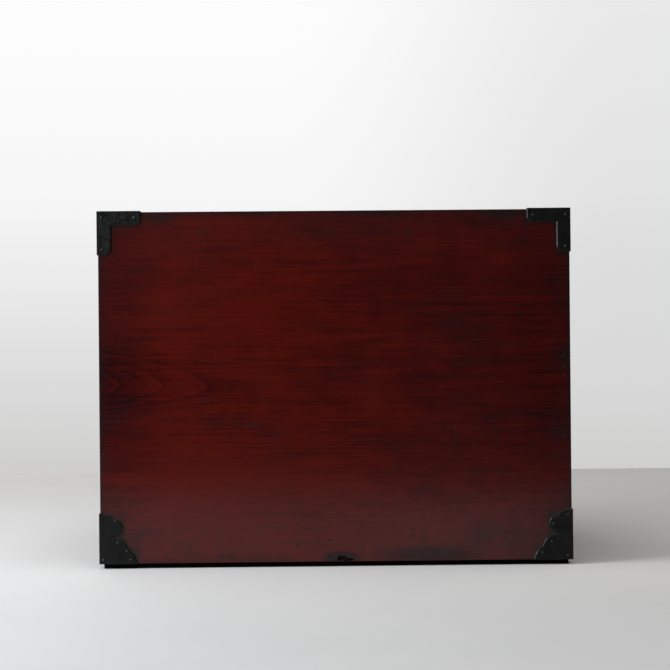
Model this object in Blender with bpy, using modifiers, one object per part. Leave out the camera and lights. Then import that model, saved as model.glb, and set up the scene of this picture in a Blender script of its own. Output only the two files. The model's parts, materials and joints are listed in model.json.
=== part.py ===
"""Tansu sea chest: a finger-jointed lacquered chest with iron corners, three drawers and a locking door.

Metres, +Z up. The front faces -Y. The chest stands on z = 0, with its bounding box centred on the origin.
"""

import math

import bmesh
import bpy
from mathutils import Matrix, Vector

# Overall sizes, without the ironwork
WIDTH = 0.600  # across the outer faces of the side boards
DEPTH = 0.400  # front edges of the boards to the outer face of the back panel
HEIGHT = 0.453  # floor to the upper face of the top board

# Carcase boards
BOARD = 0.018  # top, bottom and sides, and so the width of the iron arms on their edges
BACK_BOARD = 0.012
SHELF_BOARD = 0.012
DIVIDER_BOARD = 0.015
HOUSING = 0.005  # how deep a shelf's end sits in the board that carries it
FINGERS = 7  # fingers along each corner joint
RUNNER_HEIGHT = 0.006
RUNNER_WIDTH = 0.030
RUNNER_SETBACK = 0.005  # behind the front edges and inside the back panel's outer face
RUNNER_END_INSET = 0.004

# Front layout
UPPER_OPENING = 0.100  # height of the full-width drawer's opening
DOOR_OPENING = 0.318  # width of the door's opening
COMPARTMENT_SHELF_HEIGHT = 0.140  # clear height below the shelf behind the door

# Fits
FIT = 0.0003  # between pieces that are glued, nailed or resting
RUN = 0.0004  # around pins and in the lock's channel
DRAWER_SIDE_GAP = 0.0010
DRAWER_TOP_GAP = 0.0015
DOOR_GAP = 0.0010  # above, below and at the hinge side
SWING_CLEARANCE = 0.0008  # left when the door's inner corner swings past the divider

# Drawers
DRAWER_FRONT = 0.016
DRAWER_SIDE = 0.009
DRAWER_BACK = 0.009
DRAWER_BOTTOM = 0.006
DRAWER_RABBET = 0.008  # how far sides and bottom reach into the front
DRAWER_SIDE_DROP = 0.004  # sides and back stand this much lower than the front

# Door
DOOR_BOARD = 0.018
DOOR_CLAMP = 0.045  # height of the cross-grained end clamps
TONGUE_THICKNESS = 0.006
TONGUE_LENGTH = 0.012

# Ironwork
IRON = 0.0012  # sheet thickness
IRON_ARM = 0.056  # length of an arm of an upper corner iron
IRON_END_RADIUS = 0.007
LEFT_LOWER_IRON_WIDTH = 0.0505  # each iron was cut by hand, so left and right differ a little
RIGHT_LOWER_IRON_WIDTH = 0.0485
LOWER_IRON_HEIGHT = 0.0645
SCALLOP_CUSPS = ((0.375, 0.900), (0.340, 0.530), (0.765, 0.295))  # shares of a lower iron's width and height
SCALLOP_RISES = (0.15, 0.53, 0.185, 0.10)  # each lobe's rise as a share of its chord

# Bail handles
BAIL_HALF_SPAN = 0.042
BAIL_DROP = 0.036
BAIL_BAR_RADIUS = 0.0030
SIDE_BAIL_HALF_SPAN = 0.055
SIDE_BAIL_DROP = 0.046
SIDE_BAIL_BAR_RADIUS = 0.0035
BAIL_PIN_RADIUS = 0.0022
BAIL_BEND = 0.007
FINGER_ROOM = 0.0055  # clear space between a hanging bail and its plate
EYE_THICKNESS = 0.004
EYE_WALL = 0.0022
HANDLE_PLATE_HEIGHT = 0.034
HANDLE_PLATE_MARGIN = 0.014  # plate beyond the bail's legs
HANDLE_PLATE_END_LOBE = 0.0145  # rise of the round lobes at its two ends
HANDLE_PLATE_WIDE_LOBE = 0.0072  # rise of the long lobes above and below
SIDE_HANDLE_HEIGHT = 0.285  # pivot of the carrying handles above the floor

# Hinges and lock
HINGE_HEIGHT = 0.036
HINGE_LEAF = 0.0014
HINGE_STRAP = 0.070
HINGE_END_DISTANCE = 0.060  # door's end to the middle of a hinge
HINGE_EDGE_MARGIN = 0.002
KNUCKLE_RADIUS = 0.0036
HINGE_PIN_RADIUS = 0.0016
HINGE_PIN_HEAD = 0.0016
LOCK_PLATE_WIDTH = 0.052
LOCK_PLATE_HEIGHT = 0.060
LOCK_PLATE_LOBE = 0.012
LOCK_PLATE_EDGE = 0.010  # plate to the door's closing edge
KEYHOLE_RADIUS = 0.0026
KEYHOLE_SLOT = 0.010
LOCK_CASE_LENGTH = 0.052
LOCK_CASE_HEIGHT = 0.030
LOCK_CASE_DEPTH = 0.014
LOCK_CASE_EDGE = 0.006  # case to the door's closing edge
LOCK_ABOVE_SHELF = 0.012
BOLT_LENGTH = 0.060
BOLT_HEIGHT = 0.012
BOLT_THICKNESS = 0.006
BOLT_EDGE = 0.003  # drawn bolt's tip to the door's closing edge
BOLT_THROW = 0.011
FITTING_GAP = 0.005  # between neighbouring plates on the door

# Facets
ARC_STEPS = 8
ROUND_STEPS = 16
BAIL_STEPS = 16
BAIL_SQUARENESS = 3.2  # exponent of the bail's superellipse: 2 is an ellipse, more is squarer
PIN_TURN_STEPS = 12

# Places that follow from the sizes
PROUD = FIT + IRON  # outer face of sheet iron above the wood
EYE_RADIUS = BAIL_PIN_RADIUS + RUN + EYE_WALL
BAIL_STANDOFF = PROUD + FINGER_ROOM + BAIL_BAR_RADIUS
FRONT_PROUD = max(BAIL_STANDOFF + max(EYE_RADIUS, BAIL_BAR_RADIUS), FIT + 2 * KNUCKLE_RADIUS)
FRONT_Y = (FRONT_PROUD - PROUD - DEPTH) / 2
REAR_Y = FRONT_Y + DEPTH
CARCASE_REAR = REAR_Y - BACK_BOARD - FIT
HALF_WIDTH = WIDTH / 2
INNER_X = HALF_WIDTH - BOARD
BASE_Z = RUNNER_HEIGHT + FIT
FLOOR_Z = BASE_Z + BOARD
CEILING_Z = HEIGHT - BOARD
MID_SHELF_TOP = CEILING_Z - UPPER_OPENING
MID_SHELF_UNDER = MID_SHELF_TOP - SHELF_BOARD
DIVIDER_LEFT = -INNER_X + DOOR_OPENING
DIVIDER_RIGHT = DIVIDER_LEFT + DIVIDER_BOARD
DRAWER_SHELF_UNDER = (FLOOR_Z + MID_SHELF_UNDER - SHELF_BOARD) / 2
DRAWER_SHELF_TOP = DRAWER_SHELF_UNDER + SHELF_BOARD
COMPARTMENT_SHELF_UNDER = FLOOR_Z + COMPARTMENT_SHELF_HEIGHT
COMPARTMENT_SHELF_TOP = COMPARTMENT_SHELF_UNDER + SHELF_BOARD
HINGE_X = -INNER_X + DOOR_GAP / 2
HINGE_Y = FRONT_Y - FIT - KNUCKLE_RADIUS
DOOR_LEFT = -INNER_X + DOOR_GAP
DOOR_REACH = DIVIDER_LEFT - SWING_CLEARANCE - HINGE_X  # radius that the door's inner corner may sweep
DOOR_RIGHT = HINGE_X + math.sqrt(DOOR_REACH**2 - (FRONT_Y + DOOR_BOARD - HINGE_Y) ** 2)
DOOR_FOOT = FLOOR_Z + DOOR_GAP
DOOR_HEAD = MID_SHELF_UNDER - DOOR_GAP
DOOR_BACK_Y = FRONT_Y + DOOR_BOARD
LOCK_Z = COMPARTMENT_SHELF_TOP + LOCK_ABOVE_SHELF + LOCK_CASE_HEIGHT / 2
LOCK_X = DOOR_RIGHT - LOCK_PLATE_EDGE - LOCK_PLATE_WIDTH / 2
DOOR_HANDLE_Z = LOCK_Z - LOCK_PLATE_HEIGHT / 2 - FITTING_GAP - HANDLE_PLATE_HEIGHT / 2
DOOR_HANDLE_X = DOOR_RIGHT - LOCK_PLATE_EDGE - BAIL_HALF_SPAN - HANDLE_PLATE_MARGIN
CUT = 0.010  # how far a cutter runs past the face that it opens

CHEST = "tansu_sea_chest"


def start_scene():
    """An empty scene with one collection for the pieces and one for the cutters."""
    for obj in list(bpy.data.objects):
        bpy.data.objects.remove(obj, do_unlink=True)
    for name in (CHEST, "cutters"):
        bpy.context.scene.collection.children.link(bpy.data.collections.new(name))


def finish_material(name, colour, roughness, metallic):
    material = bpy.data.materials.new(name)
    material.use_nodes = True
    shader = material.node_tree.nodes["Principled BSDF"]
    shader.inputs["Base Color"].default_value = (*colour, 1.0)
    shader.inputs["Roughness"].default_value = roughness
    shader.inputs["Metallic"].default_value = metallic
    material.diffuse_color = (*colour, 1.0)
    return material


def place_of(empty):
    """Where a group stands in the chest's frame. Groups are never turned."""
    return empty.location + place_of(empty.parent) if empty.parent else empty.location


def put(obj, parent, place, turn=0.0):
    """Parents an object to a group and places it by its position in the chest's frame."""
    obj.parent = parent
    obj.location = Vector(place) - place_of(parent)
    obj.rotation_euler = (0.0, 0.0, turn)
    return obj


def group(name, parent=None, place=(0.0, 0.0, 0.0)):
    """An empty that carries the pieces of one moving body, standing on its joint."""
    empty = bpy.data.objects.new(name, None)
    bpy.data.collections[CHEST].objects.link(empty)
    return put(empty, parent, place) if parent else empty


def piece(name, data, finish, parent, place=(0.0, 0.0, 0.0), turn=0.0):
    obj = bpy.data.objects.new(name, data)
    data.materials.clear()
    data.materials.append(finish)
    bpy.data.collections[CHEST].objects.link(obj)
    return put(obj, parent, place, turn)


def boxes_mesh(name, boxes, centre):
    """One mesh of separate boxes, each given by two corners, measured from centre."""
    mesh = bpy.data.meshes.new(name)
    shape = bmesh.new()
    for low, high in boxes:
        low, high = Vector(low), Vector(high)
        made = bmesh.ops.create_cube(shape, size=1.0)["verts"]
        bmesh.ops.scale(shape, vec=high - low, verts=made)
        bmesh.ops.translate(shape, vec=(low + high) / 2 - centre, verts=made)
    shape.to_mesh(mesh)
    shape.free()
    return mesh


def board(name, low, high, finish, parent):
    """A rectangular board between two corners in the chest's frame."""
    centre = (Vector(low) + Vector(high)) / 2
    return piece(name, boxes_mesh(name, [(low, high)], centre), finish, parent, centre)


def cut(obj, *boxes):
    """Takes separate boxes out of a board with one Boolean."""
    centre = Vector(boxes[0][0])
    name = f"{obj.name}_cut_{len(obj.modifiers)}"
    cutter = bpy.data.objects.new(name, boxes_mesh(name, boxes, centre))
    cutter.hide_render = True
    cutter.display_type = "WIRE"
    bpy.data.collections["cutters"].objects.link(cutter)
    put(cutter, obj.parent, centre)
    modifier = obj.modifiers.new("cut", "BOOLEAN")
    modifier.operation = "DIFFERENCE"
    modifier.object = cutter


def baked(holder):
    """The evaluated mesh of a temporary object, with its caps welded. The object is removed."""
    bpy.context.view_layer.update()
    graph = bpy.context.evaluated_depsgraph_get()
    mesh = bpy.data.meshes.new_from_object(holder.evaluated_get(graph))
    bpy.data.objects.remove(holder, do_unlink=True)
    shape = bmesh.new()
    shape.from_mesh(mesh)
    bmesh.ops.remove_doubles(shape, verts=shape.verts, dist=1e-6)
    bmesh.ops.recalc_face_normals(shape, faces=shape.faces)
    shape.to_mesh(mesh)
    shape.free()
    return mesh


def temporary(name, data):
    holder = bpy.data.objects.new(name, data)
    bpy.context.scene.collection.objects.link(holder)
    return holder


def sheet(name, thickness, *outlines):
    """A flat plate in XY, centred on z = 0: the first outline is its edge, the others are holes."""
    curve = bpy.data.curves.new(name, "CURVE")
    curve.dimensions = "2D"
    curve.fill_mode = "BOTH"
    curve.extrude = thickness / 2
    for outline in outlines:
        spline = curve.splines.new("POLY")
        spline.points.add(len(outline) - 1)
        for point, (across, along) in zip(spline.points, outline):
            point.co = (across, along, 0.0, 1.0)
        spline.use_cyclic_u = True
    return baked(temporary(name, curve))


def oriented(mesh, across, along, out, place):
    """Turns a plate's X, Y and Z to three directions of the chest and moves it to place."""
    turn = Matrix((across, along, out)).transposed()
    mesh.transform(Matrix.Translation(place) @ turn.to_4x4())
    if turn.determinant() < 0:
        mesh.flip_normals()
    return mesh


def welded(name, first, *others):
    """One solid from overlapping meshes."""
    whole = temporary(name, first)
    helpers = [temporary(f"{name}_part", mesh) for mesh in others]
    for helper in helpers:
        modifier = whole.modifiers.new("join", "BOOLEAN")
        modifier.operation = "UNION"
        modifier.object = helper
    mesh = baked(whole)
    for helper in helpers:
        bpy.data.objects.remove(helper, do_unlink=True)
    return mesh


def arc(start, end, rise, steps=ARC_STEPS):
    """Points of the round lobe from start to end, bulging left by rise, or right if it is negative."""
    start, end = Vector(start), Vector(end)
    chord = end - start
    side = Vector((-chord.y, chord.x)).normalized() * math.copysign(1.0, rise)
    rise = abs(rise)
    radius = (chord.length_squared / 4 + rise**2) / (2 * rise)
    centre = (start + end) / 2 + side * (rise - radius)
    half = math.atan2(chord.length / 2, radius - rise)
    turns = [half * (2 * step / steps - 1) for step in range(1, steps + 1)]
    return [centre + radius * (math.cos(t) * side + math.sin(t) * chord.normalized()) for t in turns]


def circle(radius, centre=(0.0, 0.0), steps=ROUND_STEPS):
    angles = [2 * math.pi * step / steps for step in range(steps)]
    return [(centre[0] + radius * math.cos(a), centre[1] + radius * math.sin(a)) for a in angles]


def arm_outline():
    """L of an upper corner iron, from its outer corner: two arms with one rounded end corner each."""
    inner = IRON_ARM - IRON_END_RADIUS
    rise = IRON_END_RADIUS * (1 - math.cos(math.pi / 4))
    points = [Vector((0.0, 0.0)), Vector((0.0, IRON_ARM)), Vector((BOARD - IRON_END_RADIUS, IRON_ARM))]
    points += arc(points[-1], (BOARD, inner), rise)
    points += [Vector((BOARD, BOARD)), Vector((inner, BOARD))]
    points += arc(points[-1], (IRON_ARM, BOARD - IRON_END_RADIUS), rise)
    return points + [Vector((IRON_ARM, 0.0))]


def scallop_outline(width):
    """Cloud-edged plate of a lower corner iron, from its outer bottom corner."""
    height = LOWER_IRON_HEIGHT
    cusps = [Vector((u * width, v * height)) for u, v in SCALLOP_CUSPS]
    ends = [Vector((IRON, height)), *cusps, Vector((width, 0.0))]
    points = [Vector((0.0, 0.0)), Vector((0.0, height)), ends[0]]
    for start, end, rise in zip(ends, ends[1:], SCALLOP_RISES):
        points += arc(start, end, rise * (end - start).length)
    return points


def four_lobed_outline(width, height, end_lobe, wide_lobe):
    """Quince-flower plate: a lobe above, below and at each end, with a cusp between neighbours."""
    cusp = Vector((width / 2 - end_lobe, height / 2 - wide_lobe))
    cusps = [cusp, Vector((-cusp.x, cusp.y)), -cusp, Vector((cusp.x, -cusp.y))]
    points = []
    for index, rise in enumerate((wide_lobe, end_lobe, wide_lobe, end_lobe)):
        points += arc(cusps[index], cusps[(index + 1) % 4], -rise)
    return points


def carcase(chest, lacquer):
    """Top, bottom and sides with fingers at the corners, shelves in housings, and the back planted on."""
    depth = CARCASE_REAR - FRONT_Y
    pitch = depth / FINGERS
    slots = [
        (FRONT_Y + pitch * n - (CUT if n == 0 else FIT / 2), FRONT_Y + pitch * (n + 1) + FIT / 2)
        for n in range(FINGERS)
    ]
    slots[-1] = (slots[-1][0], CARCASE_REAR + CUT)
    for name, low, high in (("top_board", CEILING_Z, HEIGHT), ("bottom_board", BASE_Z, FLOOR_Z)):
        made = board(name, (-HALF_WIDTH, FRONT_Y, low), (HALF_WIDTH, CARCASE_REAR, high), lacquer, chest)
        for sign in (-1, 1):
            inner, outer = sorted((sign * (INNER_X - FIT), sign * (HALF_WIDTH + CUT)))
            cut(made, *[((inner, y0, low - CUT), (outer, y1, high + CUT)) for y0, y1 in slots[::2]])
    for name, sign in (("left_side", -1), ("right_side", 1)):
        inner, outer = sorted((sign * INNER_X, sign * HALF_WIDTH))
        made = board(name, (inner, FRONT_Y, BASE_Z), (outer, CARCASE_REAR, HEIGHT), lacquer, chest)
        x0, x1 = inner - CUT, outer + CUT
        cut(made, *[((x0, y0, CEILING_Z - FIT), (x1, y1, HEIGHT + CUT)) for y0, y1 in slots[1::2]])
        cut(made, *[((x0, y0, BASE_Z - CUT), (x1, y1, FLOOR_Z + FIT)) for y0, y1 in slots[1::2]])
    back_low = (-HALF_WIDTH, CARCASE_REAR + FIT, BASE_Z)
    board("back_panel", back_low, (HALF_WIDTH, REAR_Y, HEIGHT), lacquer, chest)


def housed_shelf(name, left, right, under, front, finish, chest, carriers):
    """A shelf whose ends sit in grooves of the two boards that carry it."""
    reach = HOUSING - FIT
    top = under + SHELF_BOARD
    rear = CARCASE_REAR
    board(name, (left - reach, front, under), (right + reach, rear, top), finish, chest)
    grooves = ((left - HOUSING, left + CUT), (right - CUT, right + HOUSING))
    for carrier, (low, high) in zip(carriers, grooves):
        cut(bpy.data.objects[carrier], ((low, front - FIT, under - FIT), (high, rear + CUT, top + FIT)))


def inner_boards(chest, lacquer, pale):
    """Full-width shelf under the upper drawer, the divider beside the door, and the two short shelves."""
    sides = ("left_side", "right_side")
    housed_shelf("mid_shelf", -INNER_X, INNER_X, MID_SHELF_UNDER, FRONT_Y, lacquer, chest, sides)
    foot, head = FLOOR_Z - HOUSING, MID_SHELF_UNDER + HOUSING
    low = (DIVIDER_LEFT, FRONT_Y, foot + FIT)
    divider = board("divider", low, (DIVIDER_RIGHT, CARCASE_REAR, head - FIT), lacquer, chest)
    groove = (DIVIDER_LEFT - FIT, FRONT_Y - CUT), (DIVIDER_RIGHT + FIT, CARCASE_REAR + CUT)
    cut(bpy.data.objects["bottom_board"], ((*groove[0], foot), (*groove[1], FLOOR_Z + CUT)))
    cut(bpy.data.objects["mid_shelf"], ((*groove[0], MID_SHELF_UNDER - CUT), (*groove[1], head)))
    bay = ("divider", "right_side")
    housed_shelf("drawer_shelf", DIVIDER_RIGHT, INNER_X, DRAWER_SHELF_UNDER, FRONT_Y, lacquer, chest, bay)
    bay = ("left_side", "divider")
    stop = DOOR_BACK_Y + FIT
    under = COMPARTMENT_SHELF_UNDER
    housed_shelf("compartment_shelf", -INNER_X, DIVIDER_LEFT, under, stop, pale, chest, bay)
    mortise_low = (DIVIDER_LEFT - CUT, bolt_y() - RUN, LOCK_Z - BOLT_HEIGHT / 2 - RUN)
    mortise_depth = bolt_tip() + BOLT_THROW + RUN - DIVIDER_LEFT
    mortise_high = (
        DIVIDER_LEFT + mortise_depth,
        bolt_y() + BOLT_THICKNESS + RUN,
        LOCK_Z + BOLT_HEIGHT / 2 + RUN,
    )
    cut(divider, (mortise_low, mortise_high))


def runners(chest, dark):
    """Two low battens that hold the chest off the floor."""
    reach = HALF_WIDTH - RUNNER_END_INSET
    front = FRONT_Y + RUNNER_SETBACK
    rear = REAR_Y - RUNNER_SETBACK
    top = RUNNER_HEIGHT
    board("base_runner_front", (-reach, front, 0.0), (reach, front + RUNNER_WIDTH, top), dark, chest)
    board("base_runner_rear", (-reach, rear - RUNNER_WIDTH, 0.0), (reach, rear, top), dark, chest)


def corner_iron(name, chest, iron, side, end, outlines):
    """Sheet iron bent round a corner of the chest: side is -1 left or 1 right, end is -1 front or 1 rear.

    outlines names each plate's face, the outline cut for it and whether it starts from the top or the foot.
    """
    x_out, y_out = Vector((side, 0, 0)), Vector((0, end, 0))
    up = Vector((0, 0, 1))
    end_y = FRONT_Y - PROUD if end < 0 else REAR_Y + PROUD
    plates = []
    for face, outline, from_top in outlines:
        corner = Vector((side * (HALF_WIDTH + PROUD), end_y, HEIGHT + PROUD if from_top else BASE_Z))
        rise = -up if from_top else up
        across, along, out = {
            "end": (-x_out, rise, y_out),
            "side": (-y_out, rise, x_out),
            "top": (-x_out, -y_out, up),
        }[face]
        plates.append(oriented(sheet(name, IRON, outline), across, along, out, corner - out * IRON / 2))
    mesh = welded(name, *plates)
    return piece(name, mesh, iron, chest)


def corner_irons(chest, iron):
    """L irons round the upper corners, cloud-edged irons round the lower ones, narrow on the front edges."""
    arms = arm_outline()
    sides = ((-1, "left", LEFT_LOWER_IRON_WIDTH), (1, "right", RIGHT_LOWER_IRON_WIDTH))
    for end, end_name in ((1, "rear"), (-1, "front")):
        for side, side_name, lower_width in sides:
            upper = [("end", arms, True), ("side", arms, True), ("top", arms, True)]
            corner_iron(f"{end_name}_upper_{side_name}_iron", chest, iron, side, end, upper)
            cloud = scallop_outline(lower_width)
            lower = [("end", cloud if end > 0 else arms, False), ("side", cloud, False)]
            corner_iron(f"{end_name}_lower_{side_name}_iron", chest, iron, side, end, lower)


def drawer(name, left, right, floor, ceiling, chest, lacquer, pale):
    """Front with rabbets, two sides, a back between them and a bottom that they stand on."""
    body = group(name, chest, ((left + right) / 2, FRONT_Y, floor))
    x0, x1 = left + DRAWER_SIDE_GAP, right - DRAWER_SIDE_GAP
    foot, head = floor + FIT, ceiling - DRAWER_TOP_GAP
    inside_front = FRONT_Y + DRAWER_FRONT
    step = inside_front - DRAWER_RABBET
    rear = CARCASE_REAR - FIT
    bottom_top = foot + DRAWER_BOTTOM
    side_foot, side_head = bottom_top + FIT, head - DRAWER_SIDE_DROP
    front = board(f"{name}_front", (x0, FRONT_Y, foot), (x1, inside_front, head), lacquer, body)
    ends = ((x0 - CUT, x0 + DRAWER_SIDE + FIT), (x1 - DRAWER_SIDE - FIT, x1 + CUT))
    open_y = inside_front + CUT
    cut(front, *[((low, step, side_foot - FIT), (high, open_y, head + CUT)) for low, high in ends])
    cut(front, ((x0 - CUT, step, foot - CUT), (x1 + CUT, open_y, side_foot)))
    butt = step + FIT
    board(f"{name}_left", (x0, butt, side_foot), (x0 + DRAWER_SIDE, rear, side_head), pale, body)
    board(f"{name}_right", (x1 - DRAWER_SIDE, butt, side_foot), (x1, rear, side_head), pale, body)
    back_low = (x0 + DRAWER_SIDE + FIT, rear - DRAWER_BACK, side_foot)
    board(f"{name}_back", back_low, (x1 - DRAWER_SIDE - FIT, rear, side_head), pale, body)
    board(f"{name}_bottom", (x0, butt, foot), (x1, rear, bottom_top), pale, body)
    return body


def bail_points(half_span, drop):
    """Centre line of a bail about its pivot: one pin with its bend, the bow, and the other pin."""
    pin_end = half_span - BAIL_BEND - EYE_THICKNESS - 4 * RUN
    bend = [math.pi / 2 * step / ARC_STEPS for step in range(ARC_STEPS + 1)]
    rise = half_span - BAIL_BEND
    pin = [Vector((-pin_end, 0, 0))]
    pin += [Vector((-rise - BAIL_BEND * math.sin(a), 0, BAIL_BEND * (math.cos(a) - 1))) for a in bend]
    power = 2 / BAIL_SQUARENESS
    bow = []
    for step in range(1, BAIL_STEPS):
        turn = math.pi * step / BAIL_STEPS
        across = half_span * math.copysign(abs(math.cos(turn)) ** power, -math.cos(turn))
        down = BAIL_BEND + (drop - BAIL_BEND) * math.sin(turn) ** power
        bow.append(Vector((across, 0, -down)))
    other_pin = [Vector((-p.x, 0, p.z)) for p in reversed(pin)]
    return pin, bow, other_pin


def bail(name, half_span, drop, bar_radius, iron, parent, place, turn):
    """Forged bar bent to a bow, thinner at the two pins that turn in the eyes."""
    pin, bow, other_pin = bail_points(half_span, drop)
    curve = bpy.data.curves.new(name, "CURVE")
    curve.dimensions = "3D"
    curve.bevel_depth = bar_radius
    curve.bevel_resolution = 2
    curve.use_fill_caps = True
    spline = curve.splines.new("POLY")
    path = pin + bow + other_pin
    spline.points.add(len(path) - 1)
    thin = BAIL_PIN_RADIUS / bar_radius
    for index, (point, at) in enumerate(zip(spline.points, path)):
        in_bow = len(pin) <= index < len(pin) + len(bow)
        share = math.sin(math.pi * (index - len(pin) + 1) / (len(bow) + 1)) if in_bow else 0.0
        point.co = (*at, 1.0)
        point.radius = thin + (1 - thin) * math.sqrt(max(share, 0.0))
    return piece(name, curve, iron, parent, place, turn)


def handle(name, half_span, drop, bar_radius, iron, parent, place, turn):
    """Four-lobed plate with two eyes, and the bail in them; place is on the wood behind the pivot."""
    standoff = PROUD + FINGER_ROOM + bar_radius
    width = 2 * (half_span + HANDLE_PLATE_MARGIN)
    across, up, out = Vector((1, 0, 0)), Vector((0, 0, 1)), Vector((0, -1, 0))
    edge = four_lobed_outline(width, HANDLE_PLATE_HEIGHT, HANDLE_PLATE_END_LOBE, HANDLE_PLATE_WIDE_LOBE)
    plate = oriented(sheet(name, IRON, edge), across, up, out, out * (FIT + IRON / 2))
    seat = PROUD - IRON / 2  # an eye's foot, inside the plate
    tab = [Vector((-EYE_RADIUS, seat)), Vector((-EYE_RADIUS, standoff))]
    tab += arc(tab[-1], (EYE_RADIUS, standoff), EYE_RADIUS, ROUND_STEPS // 2)
    tab.append(Vector((EYE_RADIUS, seat)))
    bore = circle(BAIL_PIN_RADIUS + RUN, (0.0, standoff))
    eye_x = half_span - BAIL_BEND - RUN - EYE_THICKNESS / 2
    eyes = []
    for sign in (-1, 1):
        eye = sheet(f"{name}_eye", EYE_THICKNESS, tab, bore)
        eyes.append(oriented(eye, up, out, across, across * sign * eye_x))
    piece(f"{name}_plate", welded(f"{name}_plate", plate, *eyes), iron, parent, place, turn)
    pivot = Vector(place) + Matrix.Rotation(turn, 3, "Z") @ (out * standoff)
    bail(f"{name}_bail", half_span, drop, bar_radius, iron, parent, pivot, turn)


def knuckle_outline(plate_edge):
    """Rolled edge of a hinge leaf about its pin at the origin: a strip that curls round into an eye."""
    radius = KNUCKLE_RADIUS
    gap = math.acos(1 - HINGE_LEAF / radius)
    roll = [(2 * math.pi - gap) * step / ROUND_STEPS for step in range(ROUND_STEPS + 1)]
    eye = [Vector((radius * math.sin(a), radius * math.cos(a))) for a in roll]
    return [Vector((plate_edge, radius)), *eye, Vector((plate_edge, radius - HINGE_LEAF))]


def hinge_leaf(name, finish, parent, place, outline, side, knuckles):
    """Flat leaf on the wood with its rolled knuckles; side is -1 on the frame and 1 on the door."""
    across, up, out = Vector((1, 0, 0)), Vector((0, 0, 1)), Vector((0, -1, 0))
    leaf_y = KNUCKLE_RADIUS - HINGE_LEAF / 2
    flat = oriented(sheet(name, HINGE_LEAF, outline), across, up, out, (0, leaf_y, 0))
    overlap = KNUCKLE_RADIUS + 3 * RUN
    rolls = []
    for low, high in knuckles:
        bore = circle(HINGE_PIN_RADIUS + RUN)
        roll = sheet(f"{name}_roll", high - low, knuckle_outline(-overlap), bore)
        rolls.append(oriented(roll, -side * across, -out, up, (0, 0, (low + high) / 2)))
    return piece(name, welded(name, flat, *rolls), finish, parent, place)


def hinge(name, height, chest, door, iron):
    """Three-knuckle hinge: two knuckles on the frame's leaf, one on the strap across the door."""
    place = (HINGE_X, HINGE_Y, height)
    half = HINGE_HEIGHT / 2
    third = HINGE_HEIGHT / 6
    edge = KNUCKLE_RADIUS + RUN
    frame_left = -HALF_WIDTH + HINGE_EDGE_MARGIN - HINGE_X
    frame = [(-edge, -half), (-edge, half), (frame_left, half), (frame_left, -half)]
    frame_knuckles = [(-half, -third - RUN / 2), (third + RUN / 2, half)]
    hinge_leaf(f"{name}_frame_leaf", iron, chest, place, frame, -1, frame_knuckles)
    tip = edge + HINGE_STRAP
    shoulder = tip - half
    strap = [Vector((edge, half)), Vector((edge, -half)), Vector((shoulder, -half))]
    strap += arc(strap[-1], (tip, 0.0), -half * 0.3)
    strap += arc(strap[-1], (shoulder, half), -half * 0.3)
    hinge_leaf(f"{name}_door_leaf", iron, door, place, strap, 1, [(-third + RUN / 2, third - RUN / 2)])
    hinge_pin(f"{name}_pin", iron, chest, place)


def hinge_pin(name, iron, chest, place):
    """Turned pin with a head above the knuckles and a peened foot below them."""
    shank = HINGE_HEIGHT / 2 + RUN
    end = shank + HINGE_PIN_HEAD
    profile = [
        (0.0, end),
        (KNUCKLE_RADIUS * 0.6, end),
        (KNUCKLE_RADIUS, shank + HINGE_PIN_HEAD / 2),
        (KNUCKLE_RADIUS, shank),
        (HINGE_PIN_RADIUS, shank),
        (HINGE_PIN_RADIUS, -shank),
        (KNUCKLE_RADIUS * 0.8, -shank),
        (KNUCKLE_RADIUS * 0.8, -end),
        (0.0, -end),
    ]
    mesh = bpy.data.meshes.new(name)
    shape = bmesh.new()
    corners = [shape.verts.new((radius, 0.0, z)) for radius, z in profile]
    for first, second in zip(corners, corners[1:]):
        shape.edges.new((first, second))
    shape.to_mesh(mesh)
    shape.free()
    pin = piece(name, mesh, iron, chest, place)
    turned = pin.modifiers.new("turn", "SCREW")
    turned.steps = turned.render_steps = PIN_TURN_STEPS
    turned.use_merge_vertices = True
    turned.merge_threshold = 1e-6
    return pin


def bolt_tip():
    """Where the drawn bolt's tip stands, across the chest."""
    return DOOR_RIGHT - BOLT_EDGE


def bolt_y():
    """Front face of the bolt, in the middle of the case behind the door."""
    return DOOR_BACK_Y + FIT + (LOCK_CASE_DEPTH - BOLT_THICKNESS) / 2


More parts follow.
